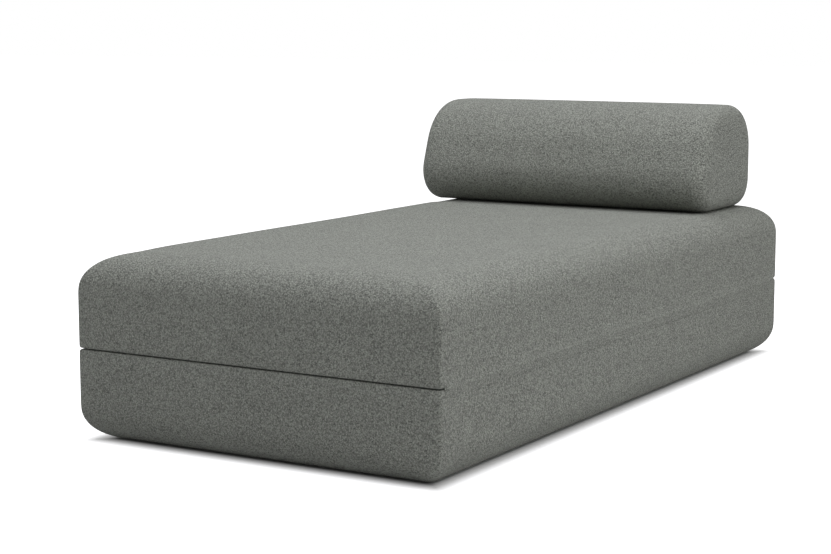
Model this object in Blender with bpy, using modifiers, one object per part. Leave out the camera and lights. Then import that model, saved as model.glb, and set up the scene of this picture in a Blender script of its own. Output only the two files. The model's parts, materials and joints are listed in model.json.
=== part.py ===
"""Futon sofa bed: two foam mattresses joined along one long side, and a loose D-shaped bolster.

Frame: metres, +Z up. The origin is the centre of the footprint, on the floor. X is the width of one
mattress, with the fold along its +X side. Y is its length, with the head end at +Y.
"""

import math

import bmesh
import bpy
from mathutils import Matrix, Vector

# ---- Driving dimensions ----

MATTRESS_WIDTH = 0.940
MATTRESS_LENGTH = 1.900
MATTRESS_THICKNESS = 0.210
SOFT_EDGE = 0.076          # radius round the face away from the fold
EDGE_SEGMENTS = 5
CORNER_RADIUS = 0.008      # radius of the four upright corners

BOLSTER_LENGTH = 0.878
BOLSTER_DEPTH = 0.360
BOLSTER_HEIGHT = 0.285
BOLSTER_BACK_INSET = 0.050  # from the head end to the back of the bolster
BOLSTER_FOOT_RADIUS = 0.084
BOLSTER_BACK_RADIUS = 0.119
BOLSTER_BROW_RADIUS = 0.160
BOLSTER_END_RADIUS = 0.034  # radius round each end
BOLSTER_BROW_BACK = 0.1815  # from the back of the bolster to the centre of the front brow

FABRIC = 0.0025
WADDING = 0.008
WADDING_CORNER = 0.001     # inner radius of the fibre sleeve beside the sleeping face
COMFORT_FOAM = 0.040
GAP = 0.0003               # between pieces that touch
FOLD_GAP = 0.0010          # from the fold plane to each sleeping face
LEAF = 0.0010              # thickness of each half of the joining fabric
LEAF_HEIGHT = 0.025
LEAF_END_INSET = 0.070

ZIP_TAPE_WIDTH = 0.028
ZIP_TAPE = 0.0010
ZIP_CHAIN_WIDTH = 0.0052
ZIP_CHAIN = 0.0016
ZIP_SLOT_HEIGHT = 0.016
ZIP_POCKET = 0.010         # from the cover's outer face to the foam behind the zip
MATTRESS_ZIP_LENGTH = 0.780
MATTRESS_ZIP_FROM_FOLD = 0.068
BOLSTER_ZIP_LENGTH = 0.700
BOLSTER_ZIP_HEIGHT = 0.125
SLIDER_LENGTH = 0.011
SLIDER_WIDTH = 0.0086
PULLER_LENGTH = 0.026
PULLER_WIDTH = 0.0048
PULLER_THICKNESS = 0.0012
PULLER_HEEL = 0.0009        # length of the puller behind its pivot
ZIP_TAPE_CLEARANCE = 0.0012  # from the foam to the tape
ZIP_TAPE_END = 0.010        # tape past each end of the slot
ZIP_STOP = 0.004            # from the slot's end to the first tooth
ZIP_ROOM = 0.003            # round the tape, in the wadding's window
SLIDER_START = 0.016        # from the slot's end to the slider's middle, closed
SLIDER_PLATE = 0.0016
PIVOT_HEIGHT = 0.0013       # from the slider's plate to the puller's pivot
LUG_HALF_LENGTH = 0.0014
LUG_OVER_PIVOT = 0.0011

# ---- Places worked out from them ----

FOLD_HEIGHT = MATTRESS_THICKNESS
SEAT_HEIGHT = 2 * MATTRESS_THICKNESS
LEFT = -MATTRESS_WIDTH / 2 + GAP
RIGHT = MATTRESS_WIDTH / 2 - LEAF - 2 * GAP
FOOT = -MATTRESS_LENGTH / 2
HEAD = MATTRESS_LENGTH / 2
BOLSTER_BACK = HEAD - BOLSTER_BACK_INSET
BOLSTER_FRONT = BOLSTER_BACK - BOLSTER_DEPTH
BOLSTER_LEFT = LEFT
BOLSTER_RIGHT = BOLSTER_LEFT + BOLSTER_LENGTH
BOLSTER_BASE = SEAT_HEIGHT + GAP


# ---- Scene and material helpers ----

def clear_scene():
    """Removes every object, so that the model starts from nothing."""
    for old in list(bpy.data.objects):
        bpy.data.objects.remove(old, do_unlink=True)


def new_collection(name, hidden=False):
    made = bpy.data.collections.new(name)
    made.hide_render = hidden
    bpy.context.scene.collection.children.link(made)
    return made


def material(name, color, roughness=0.9, metallic=0.0):
    """A plain Principled material, made once for each name."""
    made = bpy.data.materials.get(name)
    if made is None:
        made = bpy.data.materials.new(name)
        made.use_nodes = True
        shader = made.node_tree.nodes["Principled BSDF"]
        shader.inputs["Base Color"].default_value = (*color, 1.0)
        shader.inputs["Roughness"].default_value = roughness
        shader.inputs["Metallic"].default_value = metallic
    return made


FABRIC_GREY = (0.150, 0.156, 0.142)
FINISHES = {
    "cover_fabric": (FABRIC_GREY, 0.95, 0.0),
    "antislip_fabric": ((0.035, 0.036, 0.035), 0.85, 0.0),
    "wadding": ((0.80, 0.80, 0.78), 0.95, 0.0),
    "firm_foam": ((0.72, 0.70, 0.58), 0.90, 0.0),
    "soft_foam": ((0.78, 0.79, 0.82), 0.90, 0.0),
    "zip_tape": ((0.085, 0.088, 0.082), 0.80, 0.0),
    "zip_teeth": ((0.060, 0.062, 0.060), 0.35, 0.0),
    "zip_metal": ((0.30, 0.30, 0.31), 0.32, 1.0),
}


def add_object(name, mesh_data, finish, collection):
    mesh_data.materials.append(material(finish, *FINISHES[finish]))
    made = bpy.data.objects.new(name, mesh_data)
    collection.objects.link(made)
    return made


def cutter(name, low, high, collection):
    """A plain block that a Boolean takes away."""
    made = bpy.data.objects.new(name, block_mesh(name, low, high))
    made.hide_render = True
    made.display_type = "WIRE"
    collection.objects.link(made)
    return made


def cut(piece, *blocks):
    for block in blocks:
        boolean = piece.modifiers.new(block.name, "BOOLEAN")
        boolean.operation = "DIFFERENCE"
        boolean.object = block


# ---- Shape helpers ----

def block_bmesh(low, high):
    low, high = Vector(low), Vector(high)
    shape = bmesh.new()
    bmesh.ops.create_cube(shape, size=1.0)
    size = Matrix.Diagonal((*(high - low), 1.0))
    shape.transform(Matrix.Translation((low + high) / 2) @ size)
    return shape


def as_mesh(shape, name):
    made = bpy.data.meshes.new(name)
    shape.to_mesh(made)
    shape.free()
    return made


def block_mesh(name, low, high):
    return as_mesh(block_bmesh(low, high), name)


def bevel(piece, width, segments=3, weighted=False):
    modifier = piece.modifiers.new("Rounded edges", "BEVEL")
    modifier.width = width
    modifier.segments = segments
    modifier.limit_method = "WEIGHT" if weighted else "ANGLE"
    modifier.angle_limit = math.radians(30)
    modifier.miter_outer = "MITER_SHARP"
    piece.data.shade_smooth()
    piece.data.set_sharp_from_angle(angle=math.radians(35))


def weigh_edges(shape, weight_of):
    """Gives each edge the bevel weight that weight_of works out from its middle and direction."""
    layer = shape.edges.layers.float.new("bevel_weight_edge")
    for edge in shape.edges:
        first, second = (corner.co for corner in edge.verts)
        edge[layer] = weight_of((first + second) / 2, (second - first).normalized())


def panel(name, low, high, finish, collection, rounding=0.0008):
    made = add_object(name, block_mesh(name, low, high), finish, collection)
    bevel(made, rounding, segments=1)
    return made


def loft(name, rings, finish, collection, ends="closed"):
    """A solid through rings of as many points each: closed by a face at both ends, or a loop of rings."""
    shape = bmesh.new()
    corners = [[shape.verts.new(point) for point in ring] for ring in rings]
    pairs = list(zip(corners, corners[1:]))
    if ends == "closed":
        shape.faces.new(corners[0])
        shape.faces.new(corners[-1])
    else:
        pairs.append((corners[-1], corners[0]))
    count = len(rings[0])
    for ring, after in pairs:
        for i in range(count):
            k = (i + 1) % count
            shape.faces.new((ring[i], ring[k], after[k], after[i]))
    bmesh.ops.recalc_face_normals(shape, faces=shape.faces)
    made = add_object(name, as_mesh(shape, name), finish, collection)
    made.data.shade_smooth()
    made.data.set_sharp_from_angle(angle=math.radians(35))
    return made


def sleeve(name, outline, inner, start, end, finish, collection):
    """A tube between two outlines, open at both ends. An outline is a function of the place along it."""
    rings = (outline(start), outline(end), inner(end), inner(start))
    return loft(name, rings, finish, collection, ends="joined")


# ---- Mattresses ----

class Level:
    """One mattress's heights. Its sleeping face is at the fold, and its outer face away from it."""

    def __init__(self, name, outer, sleeping):
        self.name = name
        self.outer = outer
        self.sleeping = sleeping
        self.inward = 1.0 if sleeping > outer else -1.0

    def from_outer(self, depth):
        return self.outer + self.inward * depth

    def from_sleeping(self, depth):
        return self.sleeping - self.inward * depth

    def box(self, x_range, y_range, z_range):
        """The low and high corners of a box, whichever way this mattress faces."""
        low = (x_range[0], y_range[0], min(z_range))
        high = (x_range[1], y_range[1], max(z_range))
        return low, high


LOWER = Level("lower", outer=0.0, sleeping=FOLD_HEIGHT - FOLD_GAP)
UPPER = Level("upper", outer=SEAT_HEIGHT, sleeping=FOLD_HEIGHT + FOLD_GAP)


def make_cover(level, collection, cutters):
    """The border and outer face: a rounded box open at the sleeping face, of one fabric thickness."""
    low, high = level.box((LEFT, RIGHT), (FOOT, HEAD), (level.outer, level.sleeping))
    shape = block_bmesh(low, high)
    open_face = [f for f in shape.faces if f.normal.z * level.inward > 0.9]
    bmesh.ops.delete(shape, geom=open_face, context="FACES_ONLY")

    def weight(middle, direction):
        if abs(direction.z) > 0.9:
            return CORNER_RADIUS / SOFT_EDGE
        return 1.0 if abs(middle.z - level.outer) < GAP else 0.0

    weigh_edges(shape, weight)
    name = f"{level.name}_cover"
    cover = add_object(name, as_mesh(shape, name), "cover_fabric", collection)
    bevel(cover, SOFT_EDGE, segments=EDGE_SEGMENTS, weighted=True)
    wall = cover.modifiers.new("Fabric", "SOLIDIFY")
    wall.thickness = FABRIC
    wall.offset = -1.0
    wall.use_even_offset = True
    slot_low, slot_high = zip_slot(level)
    cut(cover, cutter(f"{level.name}_zip_slot", slot_low, slot_high, cutters))
    return cover


def zip_height(level):
    return level.from_sleeping(MATTRESS_ZIP_FROM_FOLD)


def zip_slot(level):
    middle = zip_height(level)
    half = ZIP_SLOT_HEIGHT / 2
    low = (-MATTRESS_ZIP_LENGTH / 2, HEAD - 2 * FABRIC, middle - half)
    high = (MATTRESS_ZIP_LENGTH / 2, HEAD + FABRIC, middle + half)
    return low, high


def make_sleep_panel(level, collection):
    inset = FABRIC + GAP
    low, high = level.box(
        (LEFT + inset, RIGHT - inset),
        (FOOT + inset, HEAD - inset),
        (level.sleeping, level.from_sleeping(FABRIC)),
    )
    shape = block_bmesh(low, high)
    weigh_edges(shape, lambda middle, direction: 1.0 if abs(direction.z) > 0.9 else 0.0)
    name = f"{level.name}_sleep_panel"
    made = add_object(name, as_mesh(shape, name), "cover_fabric", collection)
    bevel(made, CORNER_RADIUS - inset, segments=EDGE_SEGMENTS, weighted=True)
    return made


def rounded_section(x_range, z_range, radii, steps=EDGE_SEGMENTS):
    """A rectangle in XZ with its own radius at the low and at the high corners, anticlockwise."""
    (left, right), (bottom, top) = x_range, z_range
    low_radius, high_radius = radii
    corners = (
        (right - low_radius, bottom + low_radius, low_radius, -90),
        (right - high_radius, top - high_radius, high_radius, 0),
        (left + high_radius, top - high_radius, high_radius, 90),
        (left + low_radius, bottom + low_radius, low_radius, 180),
    )
    points = []
    for x, z, radius, first in corners:
        for step in range(steps + 1):
            angle = math.radians(first + 90 * step / steps)
            points.append((x + radius * math.cos(angle), z + radius * math.sin(angle)))
    return points


def section_inside_cover(level, depth):
    """The mattress's section this far inside the outside of its cover."""
    low = min(level.outer, level.sleeping) + depth
    high = max(level.outer, level.sleeping) - depth
    soft = SOFT_EDGE - depth
    tight = WADDING + FABRIC + WADDING_CORNER - depth
    radii = (soft, tight) if level is LOWER else (tight, soft)
    return rounded_section((LEFT + depth, RIGHT - depth), (low, high), radii)


def make_wadding(level, collection):
    """A fibre sleeve round the foam, open at the foot and head ends."""
    outside = FABRIC + 2 * GAP
    inside = outside + WADDING
    return sleeve(
        f"{level.name}_wadding",
        lambda y: [(x, y, z) for x, z in section_inside_cover(level, outside)],
        lambda y: [(x, y, z) for x, z in section_inside_cover(level, inside)],
        FOOT + SOFT_EDGE,
        HEAD - SOFT_EDGE,
        "wadding",
        collection,
    )


def foam_layer(name, level, depths, finish, collection, soft_face=None):
    """A foam slab between two depths from the outer face, rounded along the soft face if it has one."""
    inset = FABRIC + WADDING + 3 * GAP
    low, high = level.box(
        (LEFT + inset, RIGHT - inset),
        (FOOT + ZIP_POCKET + GAP, HEAD - ZIP_POCKET - GAP),
        (level.from_outer(depths[0]), level.from_outer(depths[1])),
    )
    shape = block_bmesh(low, high)
    radius = SOFT_EDGE - inset

    def weight(middle, direction):
        if abs(direction.z) > 0.9:
            return 0.5
        return 1.0 if soft_face is not None and abs(middle.z - soft_face) < GAP else 0.0

    weigh_edges(shape, weight)
    made = add_object(name, as_mesh(shape, name), finish, collection)
    rounding = min(radius, abs(depths[1] - depths[0]) - GAP)
    bevel(made, rounding, segments=EDGE_SEGMENTS, weighted=True)
    return made


def make_foam(level, collection):
    """The lower mattress has a firm block and one soft layer, the upper one a soft layer each side."""
    inset = FABRIC + WADDING + 3 * GAP
    inner_end = MATTRESS_THICKNESS - FOLD_GAP - inset
    seam = inner_end - COMFORT_FOAM
    if level is LOWER:
        core_start = inset
        core_face = level.from_outer(inset)
    else:
        core_start = SOFT_EDGE + GAP
        core_face = None
        foam_layer(
            "upper_seat_foam",
            level,
            (inset, SOFT_EDGE),
            "soft_foam",
            collection,
            soft_face=level.from_outer(inset),
        )
    foam_layer(
        f"{level.name}_support_foam",
        level,
        (core_start, seam),
        "firm_foam",
        collection,
        soft_face=core_face,
    )
    foam_layer(
        f"{level.name}_comfort_foam",
        level,
        (seam + GAP, inner_end),
        "soft_foam",
        collection,
    )


def make_hinge_leaf(level, collection):
    """Half of the joining fabric: a strip on the side face, from the fold plane away from it."""
    low, high = level.box(
        (RIGHT + GAP, RIGHT + GAP + LEAF),
        (FOOT + LEAF_END_INSET, HEAD - LEAF_END_INSET),
        (level.sleeping, level.from_sleeping(LEAF_HEIGHT)),
    )
    name = f"{level.name}_hinge_leaf"
    return add_object(name, block_mesh(name, low, high), "cover_fabric", collection)


def make_antislip_base(collection, cutters, cover):
    """The floor panel, let into an opening in the lower cover's flat underside."""
    inset = SOFT_EDGE + 0.008
    low = (LEFT + inset, FOOT + inset, 0.0)
    high = (RIGHT - inset, HEAD - inset, FABRIC)
    base = add_object(
        "lower_antislip_base",
        block_mesh("lower_antislip_base", low, high),
        "antislip_fabric",
        collection,
    )
    opening_low = (low[0] - GAP, low[1] - GAP, -FABRIC)
    opening_high = (high[0] + GAP, high[1] + GAP, 2 * FABRIC)
    cut(cover, cutter("lower_base_opening", opening_low, opening_high, cutters))
    return base


# ---- Zips ----

def make_zip(prefix, back, centre, middle, length, collection, cutters):
    """Tape, teeth, slider and puller, set into the pocket behind the face at y = back."""
    half = length / 2
    tape_back = back - ZIP_POCKET + ZIP_TAPE_CLEARANCE
    tape_front = tape_back + ZIP_TAPE
    chain_front = tape_front + GAP + ZIP_CHAIN
    tape_half = ZIP_TAPE_WIDTH / 2
    panel(
        f"{prefix}_zip_tape",
        (centre - half - ZIP_TAPE_END, tape_back, middle - tape_half),
        (centre + half + ZIP_TAPE_END, tape_front, middle + tape_half),
        "zip_tape",
        collection,
        rounding=0.0003,
    )
    panel(
        f"{prefix}_zip_teeth",
        (centre - half + ZIP_STOP, tape_front + GAP, middle - ZIP_CHAIN_WIDTH / 2),
        (centre + half - ZIP_STOP, chain_front, middle + ZIP_CHAIN_WIDTH / 2),
        "zip_teeth",
        collection,
        rounding=0.0004,
    )
    plate_front = chain_front + GAP + SLIDER_PLATE
    pivot = (centre - half + SLIDER_START, plate_front + PIVOT_HEIGHT, middle)
    make_slider(prefix, chain_front, pivot, collection, cutters)
    make_puller(prefix, pivot, collection)


def make_slider(prefix, chain_front, pivot, collection, cutters):
    """A saddle over the teeth, with two lugs that hold the puller."""
    along, _, middle = pivot
    front = chain_front + GAP + SLIDER_PLATE
    half_length = SLIDER_LENGTH / 2
    half_width = SLIDER_WIDTH / 2
    low = (along - half_length, chain_front - ZIP_CHAIN, middle - half_width)
    high = (along + half_length, front, middle + half_width)
    name = f"{prefix}_zip_slider"
    body = add_object(name, block_mesh(name, low, high), "zip_metal", collection)
    body.location = pivot
    body.data.transform(Matrix.Translation(-Vector(pivot)))
    groove_half = ZIP_CHAIN_WIDTH / 2 + GAP
    groove = cutter(
        f"{prefix}_zip_groove",
        (along - SLIDER_LENGTH, chain_front - 2 * ZIP_CHAIN, middle - groove_half),
        (along + SLIDER_LENGTH, chain_front + GAP, middle + groove_half),
        cutters,
    )
    cut(body, groove)
    lug_inner = PULLER_WIDTH / 2 + GAP
    for side, word in ((-1, "low"), (1, "high")):
        edges = sorted((middle + side * lug_inner, middle + side * half_width))
        lug = cutter(
            f"{prefix}_zip_lug_{word}",
            (along - LUG_HALF_LENGTH, front - GAP, edges[0]),
            (along + LUG_HALF_LENGTH, pivot[1] + LUG_OVER_PIVOT, edges[1]),
            cutters,
        )
        union = body.modifiers.new(lug.name, "BOOLEAN")
        union.operation = "UNION"
        union.object = lug


def make_puller(prefix, pivot, collection):
    """A flat tab on the slider's pivot, lying along the zip."""
    low = (pivot[0] - PULLER_HEEL, pivot[1] - PULLER_THICKNESS / 2, pivot[2] - PULLER_WIDTH / 2)
    high = (
        pivot[0] + PULLER_LENGTH,
        pivot[1] + PULLER_THICKNESS / 2,
        pivot[2] + PULLER_WIDTH / 2,
    )
    name = f"{prefix}_zip_puller"
    tab = add_object(name, block_mesh(name, low, high), "zip_metal", collection)
    tab.location = pivot
    tab.data.transform(Matrix.Translation(-Vector(pivot)))
    bevel(tab, 0.0004, segments=2)


# ---- Bolster ----

def bolster_section(depth, steps=7):
    """The D-shaped outline in YZ, this far inside the outside, anticlockwise seen from +X."""
    foot = BOLSTER_FOOT_RADIUS
    back = BOLSTER_BACK_RADIUS
    brow = BOLSTER_BROW_RADIUS
    circles = [
        (BOLSTER_FRONT + foot, foot, foot),
        (BOLSTER_BACK - foot, foot, foot),
        (BOLSTER_BACK - back, BOLSTER_HEIGHT - back, back),
        (BOLSTER_BACK - BOLSTER_BROW_BACK, BOLSTER_HEIGHT - brow, brow),
    ]
    ends = []
    for i, (y, z, radius) in enumerate(circles):
        before = circles[i - 1]
        ends.append(tangent_angle(before, (y, z, radius)))
    points = []
    for i, (y, z, radius) in enumerate(circles):
        first = ends[i]
        last = ends[(i + 1) % len(circles)]
        while last < first:
            last += 2 * math.pi
        for step in range(steps + 1):
            angle = first + (last - first) * step / steps
            reach = radius - depth
            points.append((y + reach * math.cos(angle), BOLSTER_BASE + z + reach * math.sin(angle)))
    return points


def tangent_angle(first, second):
    """The direction from either centre to the outer tangent that joins two circles, anticlockwise."""
    along_y, along_z = second[0] - first[0], second[1] - first[1]
    distance = math.hypot(along_y, along_z)
    heading = math.atan2(along_z, along_y)
    return heading - math.pi / 2 + math.asin((first[2] - second[2]) / distance)


def bolster_ring(x, depth):
    return [(x, y, z) for y, z in bolster_section(depth)]


def rounded_end(end, inward, depth):
    """Rings from the flat of an end out to its full section, this far inside the outside."""
    radius = BOLSTER_END_RADIUS - depth
    centre = end + inward * BOLSTER_END_RADIUS
    rings = []
    for step in range(EDGE_SEGMENTS + 1):
        angle = math.radians(90 * step / EDGE_SEGMENTS)
        x = centre - inward * radius * math.cos(angle)
        rings.append(bolster_ring(x, depth + radius * (1 - math.sin(angle))))
    return rings


def make_bolster_ends(collection):
    """A fabric cup over each end, down to where the section is full."""
    for side, end, inward in (("left", BOLSTER_LEFT, 1.0), ("right", BOLSTER_RIGHT, -1.0)):
        outside = rounded_end(end, inward, 0.0)
        inside = rounded_end(end, inward, FABRIC)
        loft(f"bolster_{side}_end", outside + inside[::-1], "cover_fabric", collection)


def make_bolster_filling(collection, cutters, centre, middle):
    """The foam core with its rounded ends, in a fibre sleeve with a window behind the zip."""
    outside = FABRIC + GAP
    inside = outside + WADDING
    start = BOLSTER_LEFT + BOLSTER_END_RADIUS
    end = BOLSTER_RIGHT - BOLSTER_END_RADIUS
    wadding = sleeve(
        "bolster_wadding",
        lambda x: bolster_ring(x, outside),
        lambda x: bolster_ring(x, inside),
        start,
        end,
        "wadding",
        collection,
    )
    half_length = BOLSTER_ZIP_LENGTH / 2 + ZIP_TAPE_END + ZIP_ROOM
    half_height = ZIP_TAPE_WIDTH / 2 + ZIP_ROOM
    window = cutter(
        "bolster_wadding_window",
        (centre - half_length, BOLSTER_BACK - ZIP_POCKET - ZIP_ROOM, middle - half_height),
        (centre + half_length, BOLSTER_BACK, middle + half_height),
        cutters,
    )
    cut(wadding, window)
    left_rings = rounded_end(BOLSTER_LEFT, 1.0, inside + GAP)
    right_rings = rounded_end(BOLSTER_RIGHT, -1.0, inside + GAP)
    loft("bolster_foam", left_rings + right_rings[::-1], "firm_foam", collection)


def make_bolster(collection, cutters):
    centre = (BOLSTER_LEFT + BOLSTER_RIGHT) / 2
    middle = BOLSTER_BASE + BOLSTER_ZIP_HEIGHT
    wrap = sleeve(
        "bolster_wrap",
        lambda x: bolster_ring(x, 0.0),
        lambda x: bolster_ring(x, FABRIC),
        BOLSTER_LEFT + BOLSTER_END_RADIUS + GAP,
        BOLSTER_RIGHT - BOLSTER_END_RADIUS - GAP,
        "cover_fabric",
        collection,
    )
    half = ZIP_SLOT_HEIGHT / 2
    slot = cutter(
        "bolster_zip_slot",
        (centre - BOLSTER_ZIP_LENGTH / 2, BOLSTER_BACK - 2 * FABRIC, middle - half),
        (centre + BOLSTER_ZIP_LENGTH / 2, BOLSTER_BACK + FABRIC, middle + half),
        cutters,
    )
    cut(wrap, slot)
    make_bolster_ends(collection)
    make_bolster_filling(collection, cutters, centre, middle)
    make_zip("bolster", BOLSTER_BACK, centre, middle, BOLSTER_ZIP_LENGTH, collection, cutters)


def main():
    clear_scene()
    parts = new_collection("futon_sofa_bed")
    cutters = new_collection("cutters", hidden=True)
    for level in (LOWER, UPPER):
        cover = make_cover(level, parts, cutters)
        if level is LOWER:
            make_antislip_base(parts, cutters, cover)
        make_sleep_panel(level, parts)
        make_wadding(level, parts)
        make_foam(level, parts)
        make_hinge_leaf(level, parts)
        make_zip(level.name, HEAD, 0.0, zip_height(level), MATTRESS_ZIP_LENGTH, parts, cutters)
    make_bolster(parts, cutters)


main()
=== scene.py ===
"""Futon sofa bed: fabric covers, fold strip, bolster, zips and fillings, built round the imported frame.

The file is laid out as an add-on and run as a script: main() makes every piece in order.
"""

import json
import math

import bmesh
import bpy
import numpy as np
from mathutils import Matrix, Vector


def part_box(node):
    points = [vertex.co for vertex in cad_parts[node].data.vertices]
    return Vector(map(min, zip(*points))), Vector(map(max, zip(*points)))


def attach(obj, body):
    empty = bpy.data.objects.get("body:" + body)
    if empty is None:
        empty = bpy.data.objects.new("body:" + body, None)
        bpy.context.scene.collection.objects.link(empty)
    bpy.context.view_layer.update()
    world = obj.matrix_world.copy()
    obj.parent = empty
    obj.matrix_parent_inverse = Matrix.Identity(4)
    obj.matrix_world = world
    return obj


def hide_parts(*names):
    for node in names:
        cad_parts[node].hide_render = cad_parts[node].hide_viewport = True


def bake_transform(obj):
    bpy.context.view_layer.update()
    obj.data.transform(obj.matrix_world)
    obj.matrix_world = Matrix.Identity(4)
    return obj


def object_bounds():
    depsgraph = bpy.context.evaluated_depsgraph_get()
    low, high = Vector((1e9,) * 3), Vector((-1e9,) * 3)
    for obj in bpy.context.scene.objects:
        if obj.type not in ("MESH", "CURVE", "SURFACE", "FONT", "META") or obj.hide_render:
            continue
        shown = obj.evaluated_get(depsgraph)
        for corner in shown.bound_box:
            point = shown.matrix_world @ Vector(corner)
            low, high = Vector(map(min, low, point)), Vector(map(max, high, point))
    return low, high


bl_info = {
    "name": "Futon Sofa Bed",
    "version": (1, 0, 0),
    "blender": (4, 5, 0),
    "location": "3D View > Sidebar > Futon",
    "description": "Makes the fabric, bolster, zips and fillings of a fold-out futon sofa bed",
    "category": "Add Mesh",
}

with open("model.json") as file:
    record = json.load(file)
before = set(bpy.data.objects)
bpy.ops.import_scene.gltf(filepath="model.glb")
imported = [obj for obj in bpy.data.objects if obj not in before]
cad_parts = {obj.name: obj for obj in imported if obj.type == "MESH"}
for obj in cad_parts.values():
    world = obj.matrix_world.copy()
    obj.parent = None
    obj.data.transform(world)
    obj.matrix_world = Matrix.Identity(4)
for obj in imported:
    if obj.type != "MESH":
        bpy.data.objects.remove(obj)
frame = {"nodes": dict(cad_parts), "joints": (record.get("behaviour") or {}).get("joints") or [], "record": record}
cad_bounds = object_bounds()

MM = 0.001
HALF_ARC_STEPS = 2          # grid steps from the middle of an upright corner to its end
ROLL_STEPS = 9              # grid steps round the soft edge
LIP_STEPS = 3               # grid steps round the edge beside the fold
BOLSTER_END_STEPS = 6       # grid steps round each end of the bolster
SIM_FRAMES = 20
PRESSURE = 4.0              # of the air inside a cover, in the cloth simulation
STIFFNESS = 40.0
SWELL_SHARE = 0.5           # of the cloth's own travel
START_INSET = 0.5 * MM      # how far inside its box a form starts before it swells
FLOOR_CLEARANCE = 0.4 * MM
AT_FACE = 2 * MM            # how near a point is to a face that it belongs to
SLEEP_SWELL = 0.5 * MM      # most that a sleeping face swells
FOLD_SIDE_SWELL = 1.3 * MM  # most that the side with the fold swells
FOLD_FLAT = 24 * MM         # height beside the fold that does not swell
FOLD_FADE = 15 * MM         # height over which the swelling sets in
SEAM_INSET, SEAM_DROP = 0.35 * MM, 0.4 * MM
SLOT_TURN_IN = 6.6 * MM     # how far a zip slot's rim turns in
BASE_THICKNESS = 1.0 * MM
STRIP_THICKNESS = 0.9 * MM
STRIP_TAPER = 10 * MM       # length over which each end of the strip thins out
STRIP_START = 17 * MM       # from the mattress ends to the strip ends


# ---- Places taken from the frame ----

def node_box(name):
    low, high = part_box(name)
    return np.array(low), np.array(high)


def body_of(node_name):
    bodies = frame["record"]["behaviour"]["bodies"]
    return next(body for body, members in bodies.items() if node_name in members)


class Level:
    """One mattress: its box, and which of its faces is the outer one."""

    def __init__(self, name, outer_is_low):
        self.name = name
        self.low, self.high = node_box(f"{name}_cover")
        self.outer = self.low[2] if outer_is_low else self.high[2]
        self.sleeping = self.high[2] if outer_is_low else self.low[2]
        self.inward = 1.0 if outer_is_low else -1.0
        self.depth = abs(self.sleeping - self.outer)
        self.body = f"{name}_mattress"


LOWER = Level("lower", True)
UPPER = Level("upper", False)
FOLD_JOINT = next(j for j in frame["joints"] if j["name"] == "fold")
FOLD_X, _, FOLD_Z = FOLD_JOINT["pos_m"]


# ---- Settings ----

def metres(label, about, default):
    return bpy.props.FloatProperty(name=label, description=about, unit="LENGTH", default=default)


class FutonFabric(bpy.types.PropertyGroup):
    colour: bpy.props.FloatVectorProperty(
        name="Fabric colour",
        description="Base colour of the looped cover fabric",
        subtype="COLOR",
        size=3,
        min=0.0,
        max=1.0,
        default=(0.283, 0.295, 0.256),
    )
    loop_size: metres("Loop size", "Width of one loop of the yarn", 0.0036)
    loop_height: metres("Loop height", "How far the loops stand above the backing", 0.0030)
    thickness: metres("Fabric thickness", "Thickness of the cover fabric", 0.0012)


class FutonMattress(bpy.types.PropertyGroup):
    soft_edge: metres("Soft edge", "Radius of the roll round the outer face", 0.0765)
    corner: metres("Upright corner", "Radius of the sewn upright corners", 0.006)
    top_corner: metres("Outer face corner", "Corner radius where the roll meets the outer face", 0.050)
    base_corner: metres("Base corner", "Radius of the corners of the underside, seen from above", 0.026)
    lip: metres("Fold edge", "Radius of the edge beside the fold", 0.0055)
    spacing: metres("Grid spacing", "Largest step of the mesh before it is subdivided", 0.020)
    crown: metres("Crown", "Most that the outer face swells", 0.0045)
    side_swell: metres("Side swell", "Most that the border swells", 0.0016)


class FutonBolster(bpy.types.PropertyGroup):
    front_foot: metres("Front foot radius", "Radius between the underside and the front", 0.086)
    back_foot: metres("Back foot radius", "Radius between the underside and the back", 0.078)
    back_top: metres("Back top radius", "Radius between the back and the top", 0.119)
    brow: metres("Brow radius", "Radius between the top and the sloping front", 0.160)
    brow_from_back: metres("Brow place", "Distance from the back to the middle of the brow's curve", 0.1815)
    end_radius: metres("End radius", "Radius round each end", 0.034)
    spacing: metres("Grid spacing", "Largest step of the mesh before it is subdivided", 0.015)
    swell: metres("Swell", "Most that the cushion swells", 0.002)


class FutonStage(bpy.types.PropertyGroup):
    camera_place: bpy.props.FloatVectorProperty(
        name="Camera place",
        description="Where the camera stands",
        subtype="XYZ",
        unit="LENGTH",
        size=3,
        default=(2.3144, -4.1418, 0.9484),
    )
    camera_pitch: bpy.props.FloatProperty(
        name="Camera pitch",
        description="How far the camera looks down",
        subtype="ANGLE",
        default=math.radians(7.8803),
    )
    camera_turn: bpy.props.FloatProperty(
        name="Camera turn",
        description="How far the camera turns to the left of the long axis",
        subtype="ANGLE",
        default=math.radians(30.8235),
    )
    camera_lens: bpy.props.FloatProperty(
        name="Focal length",
        description="Focal length in millimetres",
        default=81.876,
    )
    overhead: bpy.props.FloatProperty(
        name="Overhead light",
        description="Power of the softbox above",
        unit="POWER",
        default=147.0,
    )
    side: bpy.props.FloatProperty(
        name="Side light",
        description="Power of the softbox on the fold side",
        unit="POWER",
        default=44.0,
    )
    fill: bpy.props.FloatProperty(
        name="Fill",
        description="Strength of the even light all round",
        default=0.265,
    )
    glow: bpy.props.FloatProperty(
        name="Floor glow",
        description="How much the floor round the object is lifted towards white",
        default=0.85,
    )


# ---- Node helpers ----

def node(tree, kind, inputs=None, **settings):
    """A new node; each input is a value or the output socket that feeds it."""
    made = tree.nodes.new(kind)
    for key, value in settings.items():
        setattr(made, key, value)
    for key, value in (inputs or {}).items():
        if isinstance(value, bpy.types.NodeSocket):
            tree.links.new(value, made.inputs[key])
        else:
            made.inputs[key].default_value = value
    return made


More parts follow.
